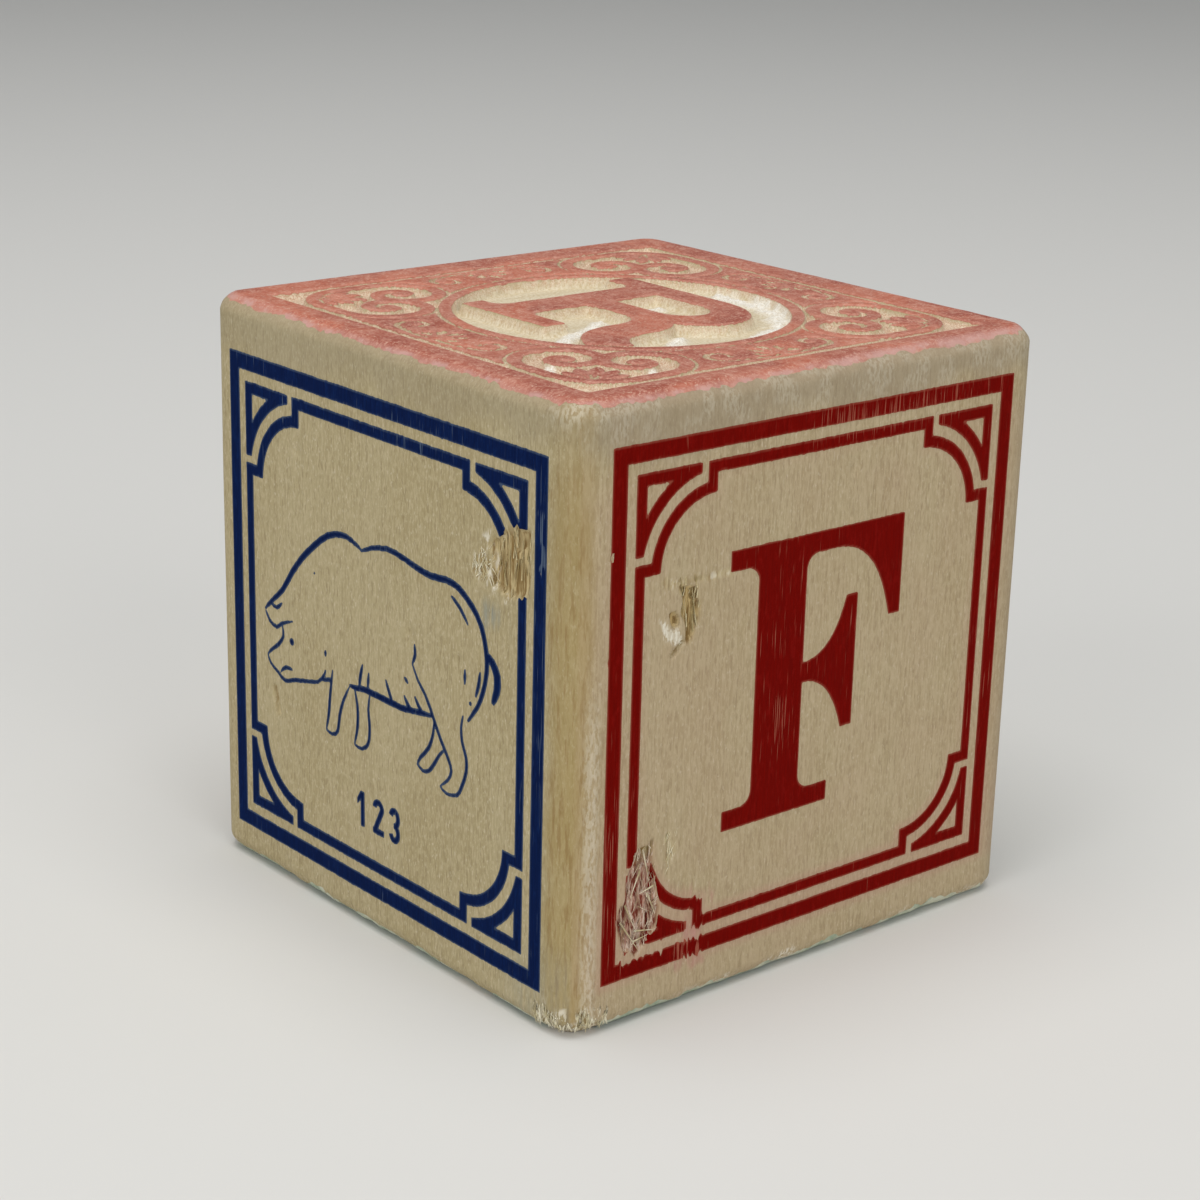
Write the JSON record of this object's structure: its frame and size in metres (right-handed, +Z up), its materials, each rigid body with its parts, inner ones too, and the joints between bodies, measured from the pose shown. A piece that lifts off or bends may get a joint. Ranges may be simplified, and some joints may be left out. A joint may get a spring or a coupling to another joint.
{
  "type": "alphabet block",
  "caption": "Wooden toy cube with printed frames, bold letters and a farm animal on its sides, and a letter in a pressed relief with washed paint on each end.",
  "frame": {"origin": "middle of the base, on the face that the block stands on", "axes": "+Z is up, along the grain of the wood. -Y is the front, with the printed letter F. -X is the left side, with the pig. +X is the right side."},
  "size_m": [0.0446, 0.0446, 0.0453],
  "materials": {
    "basswood": "bare sanded wood, worn",
    "red_ink": "thin matt printing ink",
    "blue_ink": "thin matt printing ink",
    "green_ink": "thin matt printing ink",
    "gold_ink": "thin matt printing ink",
    "red_paint": "thin washed matt paint",
    "green_paint": "thin washed matt paint"
  },
  "bodies": {
    "root": {"wood_block": "basswood", "front_outer_border": "red_ink", "front_inner_border": "red_ink", "front_corner_spandrels": "red_ink", "front_letter": "red_ink", "left_outer_border": "blue_ink", "left_inner_border": "blue_ink", "left_corner_spandrels": "blue_ink", "left_pig": "blue_ink", "left_caption": "blue_ink", "right_outer_border": "green_ink", "right_inner_border": "green_ink", "right_corner_spandrels": "green_ink", "right_numeral": "green_ink", "back_outer_border": "gold_ink", "back_inner_border": "gold_ink", "back_corner_spandrels": "gold_ink", "back_letter": "gold_ink", "top_border_paint": "red_paint", "top_ring_paint": "red_paint", "top_corner_scroll_paint": "red_paint", "top_side_scroll_paint": "red_paint", "top_letter_paint": "red_paint", "bottom_border_paint": "green_paint", "bottom_ring_paint": "green_paint", "bottom_corner_scroll_paint": "green_paint", "bottom_side_scroll_paint": "green_paint", "bottom_letter_paint": "green_paint"}
  },
  "joints": []
}
